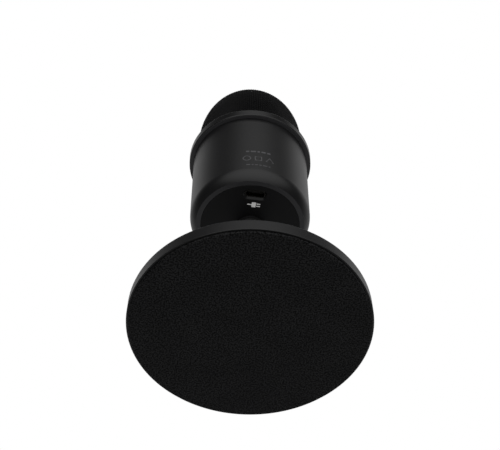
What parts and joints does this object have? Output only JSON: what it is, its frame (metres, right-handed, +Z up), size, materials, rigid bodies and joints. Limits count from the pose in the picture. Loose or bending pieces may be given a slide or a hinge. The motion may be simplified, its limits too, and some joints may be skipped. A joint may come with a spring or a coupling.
{
  "type": "desktop condenser microphone",
  "caption": "Desktop microphone with a domed mesh grille on a cylindrical body, tilting and turning on a short post over a round weighted base, with a volume knob and a mute button.",
  "frame": {"origin": "centre of the foot pad's underside, on the table that the microphone stands on", "axes": "+Z up along the stand and the body; -Y towards the talker, where the knob and the button are; +X to the right seen from the talker"},
  "size_m": [0.1, 0.1, 0.1692],
  "materials": {
    "black_metal": "satin black paint over metal",
    "black_plastic": "matt black moulded plastic",
    "grille": "black painted wire cloth",
    "foot_rubber": "black grained rubber",
    "rubber": "plain black rubber",
    "foam": "black open-cell foam",
    "steel": "plain zinc-plated steel",
    "black_steel": "black oxide steel",
    "nickel": "bright nickel plating",
    "brass": "turned brass",
    "gilt": "gold flash plating",
    "nylon": "natural nylon",
    "board": "green solder mask on glass-fibre board",
    "dark_plastic": "black moulded connector and chip plastic",
    "chassis_plastic": "dark grey moulded plastic",
    "knob": "matt black knob plastic",
    "marker": "white plastic",
    "button": "semi-gloss black plastic",
    "light": "clear light pipe",
    "lamp": "moulded lamp lens"
  },
  "bodies": {
    "base": {"foot_pad": "foot_rubber", "base_cover": "black_metal", "base_weight": "steel", "post_screw": "steel", "post_gasket": "rubber", "stand_post": "black_metal", "hinge_bolt": "black_steel", "hinge_nut": "black_steel", "hinge_washers": "nylon"},
    "knuckle": {"knuckle": "black_metal", "thread_stud": "steel", "swivel_washer": "nylon"},
    "mic": {"thread_insert": "brass", "bottom_cap": "black_plastic", "body_shell": "black_metal", "usb_shell": "nickel", "usb_tongue": "dark_plastic", "usb_contacts": "gilt", "headphone_jack": "dark_plastic", "io_board": "board", "chassis": "chassis_plastic", "chassis_screws": "black_steel", "main_board": "board", "main_board_parts": "dark_plastic", "board_header": "dark_plastic", "volume_pot": "nickel", "knob_bezel": "black_metal", "mute_switch": "dark_plastic", "light_pipe": "light", "status_leds": "lamp", "collar_ring": "black_metal", "mesh_retainer": "black_plastic", "grille_mesh": "grille", "grille_foam": "foam", "capsule_deck": "chassis_plastic", "deck_screws": "black_steel", "capsule_cradle": "rubber", "capsule_case": "nickel", "capsule_guard": "nickel", "capsule_diaphragm": "gilt", "capsule_spacer": "nylon", "capsule_backplate": "brass", "capsule_sleeve": "nylon", "capsule_board": "board", "capsule_leads": "rubber"},
    "volume_knob": {"pot_shaft": "nickel", "knob_cap": "knob", "knob_marker": "marker"},
    "mute_button": {"mute_button": "button", "switch_plunger": "dark_plastic"}
  },
  "joints": [
    {"name": "mic_tilt", "type": "hinge", "parent": "base", "child": "knuckle", "pos_m": [0, 0, 0.05], "axis": [1, 0, 0], "range_deg": [-40, 40]},
    {"name": "mic_swivel", "type": "hinge", "parent": "knuckle", "child": "mic", "pos_m": [0, 0, 0.0694], "axis": [0, 0, 1], "range_deg": [-180, 180]},
    {"name": "volume_turn", "type": "hinge", "parent": "mic", "child": "volume_knob", "pos_m": [0, -0.028, 0.0894], "axis": [0, 1, 0], "range_deg": [-140, 140]},
    {"name": "mute_press", "type": "slide", "parent": "mic", "child": "mute_button", "axis": [0, 1, 0], "range_m": [0, 0.0005], "stiffness_N_per_m": 1200, "springref_m": -0.0008}
  ]
}
